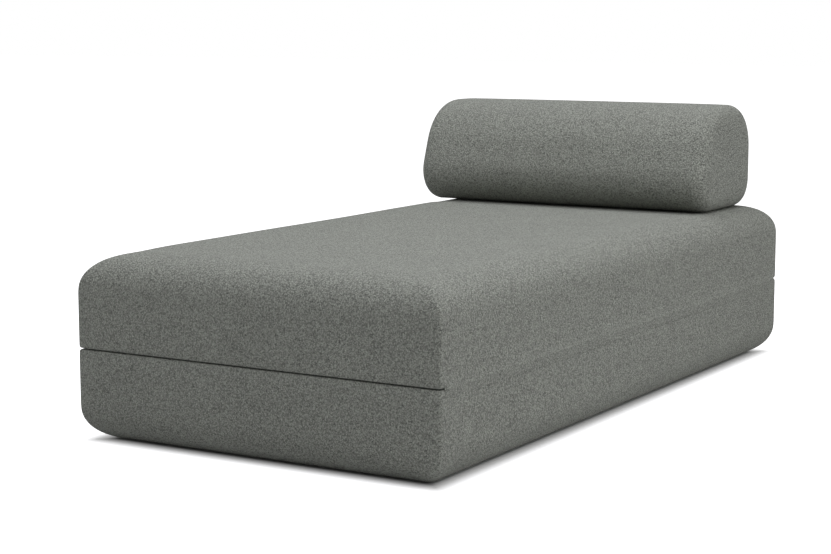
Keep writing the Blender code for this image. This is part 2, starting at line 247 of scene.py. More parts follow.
def calc(tree, operation, first, second=0.0):
    return node(tree, "ShaderNodeMath", {0: first, 1: second}, operation=operation).outputs[0]


def vector(tree, operation, *inputs):
    """A vector calculation; a single number goes to the scale."""
    keyed = {"Scale" if operation == "SCALE" and k == 1 else k: value for k, value in enumerate(inputs)}
    return node(tree, "ShaderNodeVectorMath", keyed, operation=operation).outputs[0]


def noise(tree, place, scale, detail):
    inputs = {"Vector": place, "Scale": scale, "Detail": detail}
    return node(tree, "ShaderNodeTexNoise", inputs).outputs


def span(tree, value, from_range, to_range):
    """Maps a value from one range to another, and holds it there."""
    inputs = {
        "Value": value,
        "From Min": from_range[0],
        "From Max": from_range[1],
        "To Min": to_range[0],
        "To Max": to_range[1],
    }
    return node(tree, "ShaderNodeMapRange", inputs).outputs["Result"]


def new_group(name, inputs, outputs):
    """An empty shader node group; inputs maps names to (type, default)."""
    tree = bpy.data.node_groups.new(name, "ShaderNodeTree")
    for label, (kind, value) in inputs.items():
        socket = tree.interface.new_socket(label, in_out="INPUT", socket_type=f"NodeSocket{kind}")
        if value is not None:
            socket.default_value = value
    for label, kind in outputs.items():
        tree.interface.new_socket(label, in_out="OUTPUT", socket_type=f"NodeSocket{kind}")
    source = tree.nodes.new("NodeGroupInput")
    sink = tree.nodes.new("NodeGroupOutput")
    return tree, source.outputs, sink.inputs


def loops_group():
    """Curled yarn loops: a shade that varies loop by loop, and their height."""
    name = "Yarn loops"
    if name in bpy.data.node_groups:
        return bpy.data.node_groups[name]
    inputs = {"Place": ("Vector", None), "Loop Size": ("Float", 0.006), "Contrast": ("Float", 0.3)}
    tree, given, out = new_group(name, inputs, {"Shade": "Float", "Height": "Float"})
    place, size = given["Place"], given["Loop Size"]
    rate = calc(tree, "DIVIDE", 1.0, size)
    scaled = vector(tree, "SCALE", place, rate)
    offset = vector(tree, "SUBTRACT", noise(tree, scaled, 1.3, 0.0)["Color"], (0.5, 0.5, 0.5))
    curled = vector(tree, "MULTIPLY_ADD", offset, (1.3, 1.3, 1.3), scaled)
    rounded = {"Vector": curled, "Scale": 1.0, "Smoothness": 0.35}
    cell = node(tree, "ShaderNodeTexVoronoi", rounded, feature="SMOOTH_F1")
    domes = span(tree, cell.outputs["Distance"], (0.08, 0.72), (1.0, 0.0))
    yarn = noise(tree, curled, 1.3, 0.5)["Fac"]
    ridge = calc(tree, "ABSOLUTE", calc(tree, "SUBTRACT", yarn, 0.5))
    worms = span(tree, ridge, (0.0, 0.16), (1.0, 0.0))
    fine = noise(tree, scaled, 3.6, 2.0)["Fac"]
    mixed = calc(tree, "ADD", calc(tree, "MULTIPLY", domes, 0.55), calc(tree, "MULTIPLY", worms, 0.33))
    height = calc(tree, "ADD", mixed, calc(tree, "MULTIPLY", fine, 0.24))
    tree.links.new(height, out["Height"])
    drift = span(tree, noise(tree, place, 9.0, 2.0)["Fac"], (0.3, 0.7), (-0.025, 0.025))
    swing = calc(tree, "MULTIPLY", calc(tree, "SUBTRACT", height, 0.52), given["Contrast"])
    shade = calc(tree, "ADD", calc(tree, "ADD", 1.0, swing), drift)
    tree.links.new(shade, out["Shade"])
    return tree


def grains_group():
    """Round cells of one size, for foam, grip and fleece: a shade and a height."""
    name = "Cells"
    if name in bpy.data.node_groups:
        return bpy.data.node_groups[name]
    inputs = {
        "Place": ("Vector", None),
        "Cell Size": ("Float", 0.002),
        "Stretch": ("Vector", (1.0, 1.0, 1.0)),
        "Contrast": ("Float", 0.2),
    }
    tree, given, out = new_group(name, inputs, {"Shade": "Float", "Height": "Float"})
    rate = calc(tree, "DIVIDE", 1.0, given["Cell Size"])
    scaled = vector(tree, "SCALE", vector(tree, "MULTIPLY", given["Place"], given["Stretch"]), rate)
    cell = node(tree, "ShaderNodeTexVoronoi", {"Vector": scaled, "Scale": 1.0}, feature="F1")
    height = span(tree, cell.outputs["Distance"], (0.0, 0.8), (0.0, 1.0))
    tree.links.new(height, out["Height"])
    broad = noise(tree, given["Place"], 12.0, 3.0)["Fac"]
    swing = calc(tree, "MULTIPLY", calc(tree, "SUBTRACT", height, 0.5), given["Contrast"])
    drift = span(tree, broad, (0.3, 0.7), (-0.03, 0.03))
    tree.links.new(calc(tree, "ADD", calc(tree, "ADD", 1.0, swing), drift), out["Shade"])
    return tree


def textured(name, colour, group, values, bump, roughness, metallic=0.0, sheen=0.0):
    """A Principled material whose colour and bump come from a node group over object coordinates."""
    found = bpy.data.materials.get(name)
    if found is not None:
        return found
    made = bpy.data.materials.new(name)
    made.use_nodes = True
    tree = made.node_tree
    shader = tree.nodes["Principled BSDF"]
    shader.inputs["Roughness"].default_value = roughness
    shader.inputs["Metallic"].default_value = metallic
    shader.inputs["Sheen Weight"].default_value = sheen
    shader.inputs["Sheen Roughness"].default_value = 0.6
    place = node(tree, "ShaderNodeTexCoord").outputs["Object"]
    effect = node(tree, "ShaderNodeGroup", {}, node_tree=group)
    tree.links.new(place, effect.inputs["Place"])
    for key, value in values.items():
        effect.inputs[key].default_value = value
    tree.links.new(vector(tree, "SCALE", colour, effect.outputs["Shade"]), shader.inputs["Base Color"])
    surface = {"Strength": 1.0, "Distance": bump, "Height": effect.outputs["Height"]}
    raised = node(tree, "ShaderNodeBump", surface)
    tree.links.new(raised.outputs["Normal"], shader.inputs["Normal"])
    return made


def cover_material():
    look = bpy.context.scene.futon_fabric
    values = {"Loop Size": look.loop_size, "Contrast": 1.8}
    return textured(
        "grey_looped_fabric", tuple(look.colour), loops_group(), values, look.loop_height, 0.95, sheen=0.12
    )


# Colour, cell size, stretch of the cells, contrast, height of the cells, roughness, and what else differs.
EVEN = (1.0, 1.0, 1.0)
CELL_FINISHES = {
    "grip_cloth": ((0.035, 0.036, 0.035), 0.0011, EVEN, 0.4, 0.0003, 0.8, {}),
    "grip_rubber": ((0.028, 0.028, 0.029), 0.0005, EVEN, 0.15, 0.00003, 0.55, {}),
    "fleece_wadding": ((0.80, 0.80, 0.78), 0.004, (0.35, 0.6, 1.4), 0.12, 0.0012, 0.95, {"sheen": 0.2}),
    "firm_foam_cells": ((0.72, 0.70, 0.58), 0.0014, EVEN, 0.22, 0.0005, 0.9, {}),
    "soft_foam_cells": ((0.78, 0.79, 0.82), 0.0010, EVEN, 0.18, 0.0004, 0.9, {}),
    "zip_tape_weave": ((0.085, 0.088, 0.082), 0.0009, (1.0, 1.0, 2.2), 0.5, 0.0002, 0.85, {}),
    "zip_teeth_plastic": ((0.060, 0.062, 0.060), 0.0006, EVEN, 0.15, 0.00002, 0.35, {}),
    "zip_gunmetal": ((0.30, 0.30, 0.31), 0.0005, (0.2, 1.0, 1.0), 0.2, 0.00002, 0.34, {"metallic": 1.0}),
}


def cell_material(name):
    colour, size, stretch, contrast, bump, roughness, others = CELL_FINISHES[name]
    values = {"Cell Size": size, "Stretch": stretch, "Contrast": contrast}
    return textured(name, colour, grains_group(), values, bump, roughness, **others)


# ---- Mesh helpers ----

def even_steps(start, stop, step, fixed=()):
    """Places from start to stop, no further apart than step, with the fixed ones among them."""
    marks = sorted({round(float(m), 7) for m in (start, *fixed, stop)})
    places = [marks[0]]
    for low, high in zip(marks, marks[1:]):
        count = max(1, math.ceil((high - low) / step - 1e-6))
        places += [low + (high - low) * (i + 1) / count for i in range(count)]
    return np.array(places)


def coons(ring, across, along):
    """Fills a ring of 2 * (across + along) points with a grid of points."""
    turn = across + along
    closed = np.vstack([ring, ring[:1]])
    near = closed[: across + 1]
    right = closed[across : turn + 1]
    far = closed[turn : turn + across + 1][::-1]
    left = closed[turn + across :][::-1]

    def shares(first, second):
        total = np.zeros(len(first))
        for side in (first, second):
            steps = np.linalg.norm(np.diff(side, axis=0), axis=1)
            total[1:] += np.cumsum(steps) / steps.sum() / 2
        return total

    u = shares(near, far)[:, None, None]
    v = shares(left, right)[None, :, None]
    sides = (1 - v) * near[:, None] + v * far[:, None] + (1 - u) * left[None] + u * right[None]
    corners = (1 - u) * (1 - v) * near[0] + u * (1 - v) * near[-1]
    corners = corners + (1 - u) * v * far[0] + u * v * far[-1]
    return sides - corners


class Form:
    """A closed form of quads through rings of points, with a grid over the first and the last ring."""

    def __init__(self, rings, across, along):
        self.across, self.along = across, along
        self.count = 2 * (across + along)
        self.levels = len(rings)
        points = [np.asarray(ring, float) for ring in rings]
        faces, kinds, places = [], [], []
        for level in range(self.levels - 1):
            for p in range(self.count):
                q = (p + 1) % self.count
                base, after = level * self.count, (level + 1) * self.count
                faces.append((base + p, base + q, after + q, after + p))
                kinds.append(1)
                places.append((level, p))
        used = self.levels * self.count
        for kind, level in ((0, 0), (2, self.levels - 1)):
            grid = coons(points[level], across, along)
            index = np.zeros((across + 1, along + 1), int)
            for i in range(across + 1):
                for j in range(along + 1):
                    p = self.rim(i, j)
                    if p is None:
                        index[i, j] = used
                        points.append(grid[i, j][None])
                        used += 1
                    else:
                        index[i, j] = level * self.count + p
            for i in range(across):
                for j in range(along):
                    face = (index[i, j], index[i + 1, j], index[i + 1, j + 1], index[i, j + 1])
                    faces.append(face if kind == 2 else face[::-1])
                    kinds.append(kind)
                    places.append((min(i, across - 1 - i, j, along - 1 - j), 0))
        self.points = np.vstack(points)
        self.faces = np.array(faces)
        self.kinds = np.array(kinds)
        self.places = np.array(places)
        corners = self.points[self.faces]
        volume = np.einsum("ij,ij->i", corners[:, 0], np.cross(corners[:, 1], corners[:, 2])).sum()
        if volume < 0:
            self.faces = self.faces[:, ::-1]

    def rim(self, i, j):
        """Where a point of the grid's rim is on the ring, or None inside it."""
        across, along = self.across, self.along
        if j == 0:
            return i
        if i == across:
            return across + j
        if j == along:
            return across + along + across - i
        if i == 0:
            return (2 * across + along + along - j) % self.count
        return None


def mesh_of(name, points, faces):
    """A mesh of the faces' own points only."""
    faces = np.asarray(faces)
    used, index = np.unique(faces, return_inverse=True)
    made = bpy.data.meshes.new(name)
    made.from_pydata(points[used].tolist(), [], index.reshape(faces.shape).tolist())
    made.update()
    return made


def link(name, mesh):
    made = bpy.data.objects.new(name, mesh)
    bpy.context.scene.collection.objects.link(made)
    return made


def closed_mesh(name, shape, material):
    """A smooth mesh from a finished bmesh, with its faces turned outward."""
    bmesh.ops.recalc_face_normals(shape, faces=shape.faces)
    made = bpy.data.meshes.new(name)
    shape.to_mesh(made)
    shape.free()
    made.shade_smooth()
    made.materials.append(material)
    return made


def bake(piece):
    """Applies the piece's modifiers."""
    graph = bpy.context.evaluated_depsgraph_get()
    mesh = bpy.data.meshes.new_from_object(piece.evaluated_get(graph))
    piece.modifiers.clear()
    piece.data = mesh
    mesh.shade_smooth()
    mesh.set_sharp_from_angle(angle=math.radians(50))
    return piece


def normals_of(points, faces):
    mesh = bpy.data.meshes.new("normals")
    mesh.from_pydata(points.tolist(), [], faces.tolist())
    mesh.update()
    found = np.zeros(len(points) * 3, np.float32)
    mesh.vertex_normals.foreach_get("vector", found)
    bpy.data.meshes.remove(mesh)
    return found.reshape(-1, 3).astype(float)


def pressed_out(form, held):
    """How far cloth over the form moves along its own normals when pressed out from inside."""
    cloth = link("swelling", mesh_of("swelling", form.points, form.faces))
    pins = cloth.vertex_groups.new(name="held")
    pins.add(np.flatnonzero(held).tolist(), 1.0, "REPLACE")
    simulation = cloth.modifiers.new("Cloth", "CLOTH")
    settings = simulation.settings
    settings.quality = 4
    settings.use_pressure = True
    settings.uniform_pressure_force = PRESSURE
    settings.vertex_group_mass = pins.name
    settings.effector_weights.gravity = 0.0
    settings.tension_stiffness = STIFFNESS
    settings.compression_stiffness = STIFFNESS
    simulation.point_cache.frame_start = 1
    simulation.point_cache.frame_end = SIM_FRAMES
    scene = bpy.context.scene
    for step in range(1, SIM_FRAMES + 1):
        scene.frame_set(step)
    graph = bpy.context.evaluated_depsgraph_get()
    moved = cloth.evaluated_get(graph).to_mesh()
    places = np.zeros(len(form.points) * 3, np.float32)
    moved.vertices.foreach_get("co", places)
    bpy.data.objects.remove(cloth)
    scene.frame_set(1)
    travel = places.reshape(-1, 3) - form.points
    return np.einsum("ij,ij->i", travel, normals_of(form.points, form.faces))


def swollen(form, held, limit):
    """The form's points after the swelling, each held softly below its own limit."""
    normals = normals_of(form.points, form.faces)
    travel = pressed_out(form, held)
    travel = limit * np.tanh(np.maximum(travel, 0.0) * SWELL_SHARE / np.maximum(limit, 1e-6))
    return form.points + normals * travel[:, None]


def thickened(piece, thickness):
    """The piece as fabric with real thickness, from its outer surface inward."""
    wall = piece.modifiers.new("Thickness", "SOLIDIFY")
    wall.thickness = thickness
    wall.offset = -1.0
    wall.edge_crease_outer = 1.0
    wall.edge_crease_rim = 1.0
    smooth = piece.modifiers.new("Smooth", "SUBSURF")
    smooth.levels = 1
    smooth.render_levels = 1
    return bake(piece)


def skin(name, points, faces, material, thickness):
    piece = link(name, mesh_of(name, points, faces))
    piece.data.materials.append(material)
    return thickened(piece, thickness)


def finish_piece(piece, body, slot, *nodes):
    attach(piece, body)
    if nodes:
        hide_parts(*nodes)
    return piece


# ---- Mattresses ----

def rounded_rectangle(low, high, inset, radius, columns, rows, z):
    """A ring of points: each corner's arc in steps, with the columns and rows scaled between them."""
    middle = (low + high) / 2
    half = (high - low) / 2 - inset - radius
    angles = np.linspace(0, math.pi / 4, HALF_ARC_STEPS + 1)[:-1]
    points = []
    sides = (
        (columns, np.array([1.0, 0.0]), np.array([0.0, -1.0])),
        (rows, np.array([0.0, 1.0]), np.array([1.0, 0.0])),
        (columns, np.array([-1.0, 0.0]), np.array([0.0, 1.0])),
        (rows, np.array([0.0, -1.0]), np.array([-1.0, 0.0])),
    )
    for places, heading, outward in sides:
        reach = abs(heading @ half)
        edge = abs(outward @ half)
        start = middle - heading * reach + outward * edge
        for angle in angles:
            tilt = math.pi / 4 - angle
            points.append(start + radius * (outward * math.cos(tilt) - heading * math.sin(tilt)))
        scaled = places / places[-1] * reach
        for place in scaled:
            points.append(middle + heading * place + outward * (edge + radius))
        end = middle + heading * reach + outward * edge
        for angle in angles[1:]:
            points.append(end + radius * (outward * math.cos(angle) + heading * math.sin(angle)))
    flat = np.array(points)
    return np.column_stack([flat, np.full(len(flat), z)])


def mattress_form(level):
    """The closed form of one mattress, a little inside its box, and its rings' names."""
    look = bpy.context.scene.futon_mattress
    start = START_INSET
    low, high = level.low[:2] + start, level.high[:2] - start
    edge, lip, corner = look.soft_edge, look.lip, look.corner
    plan = look.top_corner if level is UPPER else look.base_corner
    zip_low, zip_high = zip_opening(level.name)
    half = (high - low) / 2 - corner
    fine = 0.009
    slot_x = (zip_high[0] - zip_low[0]) / 2
    columns = even_steps(-half[0], half[0], look.spacing, (-half[0] + fine, half[0] - fine, -slot_x, slot_x))
    rows = even_steps(-half[1], half[1], look.spacing, (-half[1] + fine, half[1] - fine))
    profile = []
    for angle in np.linspace(0, math.pi / 2, ROLL_STEPS):
        inset = edge * (1 - math.sin(angle))
        depth = edge * (1 - math.cos(angle)) + start
        radius = corner + (plan - corner) * (inset / edge) ** 1.3
        profile.append((depth, inset, radius, "roll"))
    slot_depths = sorted(abs(z - level.outer) for z in (zip_low[2], zip_high[2]))
    sides = even_steps(edge + start, level.depth - lip, look.spacing, slot_depths)
    profile += [(depth, 0.0, corner, "side") for depth in sides[1:]]
    for angle in np.linspace(0, math.pi / 2, LIP_STEPS + 1)[1:]:
        inset = lip * (1 - math.cos(angle))
        depth = level.depth - lip * (1 - math.sin(angle))
        profile.append((depth, inset, corner - inset / 3, "lip"))
    rings = []
    for depth, inset, radius, _ in profile:
        z = level.outer + level.inward * depth
        rings.append(rounded_rectangle(low, high, inset, radius, columns, rows, z))
    across = len(columns) - 1 + 2 * HALF_ARC_STEPS
    along = len(rows) - 1 + 2 * HALF_ARC_STEPS
    # Each ring starts half-way round a corner, so that both grids share their corners with it.
    form = Form(rings, across, along)
    return form, [kind for *_, kind in profile]


def zip_opening(prefix):
    """The low and high corners of a zip's slot in the cover, from its teeth."""
    low, high = node_box(f"{prefix}_zip_teeth")
    middle = (low[2] + high[2]) / 2
    half_height, beyond = 8.0 * MM, 4.0 * MM
    return (
        np.array([low[0] - beyond, low[1], middle - half_height]),
        np.array([high[0] + beyond, high[1], middle + half_height]),
    )


def within(points, low, high):
    """Which points lie between two corners, seen along Y."""
    return ((points > low) & (points < high))[:, [0, 2]].all(axis=1)


def corner_columns(form):
    """Which places round a ring lie on the upright corners' arcs."""
    ends = (0, form.across, form.across + form.along, 2 * form.across + form.along)
    near = np.zeros(form.count, bool)
    for end in ends:
        for step in range(-HALF_ARC_STEPS, HALF_ARC_STEPS + 1):
            near[(end + step) % form.count] = True
    return near


def seat_rest(points):
    """1 where the bolster presses on the seat, fading to 0 round it."""
    low, high = node_box("bolster_wrap")
    fade = 60 * MM
    gap = np.maximum(low[:2] - points[:, :2], points[:, :2] - high[:2]).max(axis=1)
    near = np.clip(1 - gap / fade, 0, 1)
    return near * near * (3 - 2 * near)


def make_mattress(level):
    look = bpy.context.scene.futon_mattress
    fabric = bpy.context.scene.futon_fabric
    form, ring_kinds = mattress_form(level)
    ring_of = np.arange(len(form.points)) // form.count
    place_of = np.arange(len(form.points)) % form.count
    on_ring = ring_of < form.levels
    kind_of = np.array(ring_kinds + ["grid"])[np.minimum(ring_of, form.levels)]
    corner = corner_columns(form)[place_of] & on_ring
    sleeping = np.isclose(form.points[:, 2], level.sleeping, atol=0.1 * MM)
    held = (corner & (kind_of == "side")) | (kind_of == "lip")
    upward = np.clip(normals_of(form.points, form.faces)[:, 2] * -level.inward, 0, 1) ** 2
    outer_limit = look.crown if level is UPPER else 0.0
    limit = look.side_swell * (1 - upward) + outer_limit * upward
    limit = np.where(sleeping, SLEEP_SWELL, limit)
    right = form.points[:, 0] > level.high[0] - AT_FACE
    from_fold = np.clip((abs(form.points[:, 2] - FOLD_Z) - FOLD_FLAT) / FOLD_FADE, 0, 1)
    limit = np.where(right, np.minimum(limit, FOLD_SIDE_SWELL * from_fold), limit)
    if level is UPPER:
        limit = limit * (1 - np.where(upward > 0.5, seat_rest(form.points), 0.0))
    points = swollen(form, held, limit)
    if level is LOWER:
        points[:, 2] = np.maximum(points[:, 2], FLOOR_CLEARANCE)
    kinds, places = form.kinds, form.places[:, 0]
    panel = (kinds == 2) & (places > 0)
    base = (kinds == 0) & (places > 0) & (level is LOWER)
    middles = form.points[form.faces].mean(axis=1)
    slot_low, slot_high = zip_opening(level.name)
    slot = (kinds == 1) & (middles[:, 1] > level.high[1] - AT_FACE)
    slot &= within(middles, slot_low, slot_high)
    cover_faces = form.faces[~(panel | base | slot)]
    cover = skin_with_slot(
        f"{level.name}_cover_fabric", points, cover_faces, form.faces[slot], fabric.thickness
    )
    finish_piece(cover, level.body, "cover_fabric", f"{level.name}_cover")
    sleep = inset_panel(
        f"{level.name}_sleep_fabric", points, form.faces[panel], cover_material(), fabric.thickness, level
    )
    finish_piece(sleep, level.body, "cover_fabric", f"{level.name}_sleep_panel")
    return points, form.faces[base]


def inset_panel(name, points, faces, material, thickness, level):
    """A flat panel whose rim is drawn in and down, so that a seam shows round it."""
    faces = np.asarray(faces)
    sides = np.vstack([faces[:, [0, 1]], faces[:, [1, 2]], faces[:, [2, 3]], faces[:, [3, 0]]])
    pairs, counts = np.unique(np.sort(sides, axis=1), axis=0, return_counts=True)
    rim = np.unique(pairs[counts == 1])
    drawn = points.copy()
    middle = points[rim].mean(axis=0)
    inward = np.sign(middle - drawn[rim])
    drawn[rim, :2] += inward[:, :2] * SEAM_INSET
    drawn[rim, 2] -= level.inward * SEAM_DROP
    return skin(name, drawn, faces, material, thickness)


def skin_with_slot(name, points, faces, slot_faces, thickness):
    """A skin with an opening whose rim turns in towards the zip."""
    piece = link(name, mesh_of(name, points, faces))
    piece.data.materials.append(cover_material())
    corners = points[np.unique(slot_faces)]
    low, high = corners.min(axis=0) - 0.5 * MM, corners.max(axis=0) + 0.5 * MM

    def at_slot(edge):
        places = np.array([vertex.co for vertex in edge.verts])
        return edge.is_boundary and (low < places).all() and (places < high).all()

    shape = bmesh.new()
    shape.from_mesh(piece.data)
    rim = [edge for edge in shape.edges if at_slot(edge)]
    turned = {}
    for vertex in (vertex for edge in rim for vertex in edge.verts):
        if vertex not in turned:
            turned[vertex] = shape.verts.new(vertex.co - Vector((0.0, SLOT_TURN_IN, 0.0)))
    for edge in rim:
        first, last = edge.verts
        shape.faces.new((first, last, turned[last], turned[first]))
    bmesh.ops.recalc_face_normals(shape, faces=shape.faces)
    shape.to_mesh(piece.data)
    shape.free()
    return thickened(piece, thickness)


# ---- Operators ----

class FUTON_OT_stage(bpy.types.Operator):
    """Floor, light and camera"""

    bl_idname = "futon.stage"
    bl_label = "Stage"

    def execute(self, context):
        make_stage(context.scene.futon_stage)
        return {"FINISHED"}


def make_stage(look):
    world = bpy.data.worlds.new("Studio")
    bpy.context.scene.world = world
    world.use_nodes = True
    tree = world.node_tree
    tree.nodes.clear()
    path = node(tree, "ShaderNodeLightPath").outputs["Is Camera Ray"]
    white = node(tree, "ShaderNodeBackground", {"Color": (1, 1, 1, 1), "Strength": 1.0})
    even = node(tree, "ShaderNodeBackground", {"Color": (1, 1, 1, 1), "Strength": look.fill})
    both = node(tree, "ShaderNodeMixShader", {0: path, 1: even.outputs[0], 2: white.outputs[0]})
    node(tree, "ShaderNodeOutputWorld", {"Surface": both.outputs[0]})
    bpy.context.scene.view_settings.view_transform = "Standard"

    floor = bpy.data.meshes.new("floor")
    shape = bmesh.new()
    bmesh.ops.create_grid(shape, x_segments=4, y_segments=4, size=30.0)
    shape.to_mesh(floor)
    shape.free()
    plane = link("floor", floor)
    plane.location.z = -0.2 * MM
    paper = bpy.data.materials.new("floor_paper")
    paper.use_nodes = True
    tree = paper.node_tree
    shader = tree.nodes["Principled BSDF"]
    shader.inputs["Roughness"].default_value = 1.0
    shader.inputs["Specular IOR Level"].default_value = 0.0
    seen = node(tree, "ShaderNodeLightPath").outputs["Is Camera Ray"]
    for_light, for_camera = (0.68, 0.68, 0.68, 1), (0.78, 0.78, 0.78, 1)
    tone = node(tree, "ShaderNodeMix", {"Factor": seen, 6: for_light, 7: for_camera}, data_type="RGBA")
    tree.links.new(tone.outputs[2], shader.inputs["Base Color"])
    # Painted light: the floor glows towards white for the camera only, though it is no lamp. The glow starts under
    # the soft edge, so the shadow stays close to the object. That shadow is partly cast by the lights and partly
    # painted, because the glow is held back near the object.
    place = node(tree, "ShaderNodeTexCoord").outputs["Object"]
    distance = node(tree, "ShaderNodeVectorMath", {0: place}, operation="LENGTH").outputs["Value"]
    sides = node(tree, "ShaderNodeSeparateXYZ", {0: vector(tree, "ABSOLUTE", place)}).outputs
    edge = bpy.context.scene.futon_mattress.soft_edge
    past_x, past_y = (
        calc(tree, "SUBTRACT", sides[axis], cad_bounds[1][k] - edge) for k, axis in enumerate("XY")
    )
    near_fade, far_fade = (0.02, 0.09), (1.4, 3.6)
    near = span(tree, calc(tree, "MAXIMUM", past_x, past_y), near_fade, (0.0, look.glow))
    far = span(tree, distance, far_fade, (0.0, 1.0 - look.glow))
    glow = calc(tree, "MULTIPLY", calc(tree, "ADD", near, far), seen)
    tree.links.new(glow, shader.inputs["Emission Strength"])
    shader.inputs["Emission Color"].default_value = (1.0, 1.0, 1.0, 1.0)
    floor.materials.append(paper)

    def softbox(name, place, size, power, aim, colour):
        light = bpy.data.lights.new(name, "AREA")
        light.shape = "RECTANGLE"
        light.size, light.size_y = size
        light.energy = power
        light.color = colour
        lamp = bpy.data.objects.new(name, light)
        bpy.context.scene.collection.objects.link(lamp)
        lamp.location = place
        lamp.rotation_euler = (Vector(aim) - Vector(place)).to_track_quat("-Z", "Y").to_euler()
        return lamp

    cool, neutral = (0.98, 0.985, 1.035), (1.0, 1.0, 0.99)
    softbox("overhead_softbox", (0.4, -0.7, 3.6), (4.2, 4.6), look.overhead, (0.4, -0.7, 0.0), cool)
    softbox("side_softbox", (4.2, 0.4, 2.2), (2.6, 2.0), look.side, (0.4, 0.2, 0.3), neutral)

    camera = bpy.data.cameras.new("camera")
    camera.lens = look.camera_lens
    camera.sensor_width = 36.0
    camera.clip_end = 60.0
    holder = bpy.data.objects.new("camera", camera)
    bpy.context.scene.collection.objects.link(holder)
    holder.location = look.camera_place
    holder.rotation_euler = (math.pi / 2 - look.camera_pitch, 0.0, look.camera_turn)
    bpy.context.scene.camera = holder


class FUTON_OT_lower_mattress(bpy.types.Operator):
    """Cover, sleeping panel and grip base of the lower mattress"""

    bl_idname = "futon.lower_mattress"
    bl_label = "Lower mattress"

    def execute(self, context):
        points, base_faces = make_mattress(LOWER)
        base = skin("lower_base_fabric", points, base_faces, cell_material("grip_cloth"), BASE_THICKNESS)
        finish_piece(base, LOWER.body, "antislip_fabric", "lower_antislip_base")
        low, high = node_box("lower_antislip_base")
        make_grip_dots(low, high)
        return {"FINISHED"}


def make_grip_dots(low, high):
    """Low rubber domes in staggered rows on the underside."""
    pitch, radius, top = 27 * MM, 3.6 * MM, 0.6 * MM
    rings = ((1.0, top), (0.75, 0.2 * MM))
    sides = 8
    points = []
    for share, z in rings:
        for k in range(sides):
            turn = 2 * math.pi * k / sides
            points.append((radius * share * math.cos(turn), radius * share * math.sin(turn), z))
    points.append((0.0, 0.0, 0.1 * MM))
    faces = [tuple(range(sides))]
    for k in range(sides):
        j = (k + 1) % sides
        faces += [(k, sides + k, sides + j, j), (sides + k, 2 * sides, sides + j)]
    places = []
    for row, y in enumerate(np.arange(low[1] + pitch, high[1] - pitch / 2, pitch * 0.866)):
        shift = pitch / 2 * (row % 2)
        places += [(x + shift, y, 0.0) for x in np.arange(low[0] + pitch, high[0] - pitch * 1.2, pitch)]
    everywhere, copies = repeated(np.array(points), faces, places)
    name = "lower_grip_dots"
    dots = link(name, plain_mesh(name, everywhere, copies, cell_material("grip_rubber")))
    finish_piece(dots, LOWER.body, "antislip_fabric")


class FUTON_OT_upper_mattress(bpy.types.Operator):
    """Cover and sleeping panel of the upper mattress"""

    bl_idname = "futon.upper_mattress"
    bl_label = "Upper mattress"

    def execute(self, context):
        make_mattress(UPPER)
        return {"FINISHED"}


# Height from the fold and how far the fabric stands proud of the covers, in millimetres.
FOLD_PROFILE = (
    (-25.0, -0.6), (-22.0, -0.15), (-16.0, 0.55), (-10.0, 1.25), (-5.5, 1.75), (-2.4, 2.1), (-1.2, 2.22),
    (-0.4, 2.3), (0.4, 2.26), (1.2, 2.1), (2.4, 1.75), (4.2, 1.22), (7.0, 0.78), (11.0, 0.42),
    (16.0, 0.08), (22.0, -0.35), (25.0, -0.6),
)


def fold_ring(side, y, from_end):
    """The strip's section at one place along the fold: its outer points, then its inner ones."""
    taper = min(1.0, from_end / STRIP_TAPER + 0.15)
    outer = []
    for height, proud in FOLD_PROFILE:
        outer.append((side + proud * MM * taper - (1 - taper) * MM, y, FOLD_Z + height * MM))
    return outer + [(x - STRIP_THICKNESS, y, z) for x, y, z in outer[::-1]]


def make_fold_fabric():
    low, high = UPPER.low[1] + STRIP_START, UPPER.high[1] - STRIP_START
    first, second, spacing = 2 * MM, 8 * MM, 16 * MM
    stations = even_steps(low, high, spacing, (low + first, low + second, high - second, high - first))
    rings = [fold_ring(UPPER.high[0], y, min(y - low, high - y)) for y in stations]
    count = len(rings[0])
    half = count // 2
    shape = bmesh.new()
    rows = [[shape.verts.new(point) for point in ring] for ring in rings]
    for row, after in zip(rows, rows[1:]):
        for p in range(count):
            q = (p + 1) % count
            shape.faces.new((row[p], row[q], after[q], after[p]))
    for row in (rows[0], rows[-1]):
        for p in range(half - 1):
            shape.faces.new((row[p], row[p + 1], row[count - 2 - p], row[count - 1 - p]))
    strip = link("fold_fabric", closed_mesh("fold_fabric", shape, cover_material()))
    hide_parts("lower_hinge_leaf", "upper_hinge_leaf")
    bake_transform(strip)


class FUTON_OT_fold_fabric(bpy.types.Operator):
    """Joining strip over the fold, with its crease"""

    bl_idname = "futon.fold_fabric"
    bl_label = "Fold fabric"

    def execute(self, context):
        make_fold_fabric()
        return {"FINISHED"}


def bolster_outline(inset):
    """The D-shaped outline in YZ, as circles joined by tangents, anticlockwise from the front foot."""
    look = bpy.context.scene.futon_bolster
    low, high = node_box("bolster_wrap")
    front, back, base, top = low[1], high[1], low[2], high[2]
    circles = [
        (front + look.front_foot, base + look.front_foot, look.front_foot),
        (back - look.back_foot, base + look.back_foot, look.back_foot),
        (back - look.back_top, top - look.back_top, look.back_top),
        (back - look.brow_from_back, top - look.brow, look.brow),
    ]
    turns = []
    for i, (y, z, radius) in enumerate(circles):
        by, bz, before = circles[i - 1]
        along = math.hypot(y - by, z - bz)
        turns.append(math.atan2(z - bz, y - by) - math.pi / 2 + math.asin((before - radius) / along))
    points = []
    for i, (y, z, radius) in enumerate(circles):
        first, last = turns[i], turns[(i + 1) % 4]
        while last < first:
            last += 2 * math.pi
        for angle in np.linspace(first, last, 40):
            reach = radius - inset - START_INSET
            points.append((y + reach * math.cos(angle), z + reach * math.sin(angle)))
    return np.array(points)


def lengths_along(outline):
    """A closed outline with its first point again at the end, and the length reached at each point."""
    closed = np.vstack([outline, outline[:1]])
    steps = np.linalg.norm(np.diff(closed, axis=0), axis=1)
    return closed, np.concatenate([[0], np.cumsum(steps)])


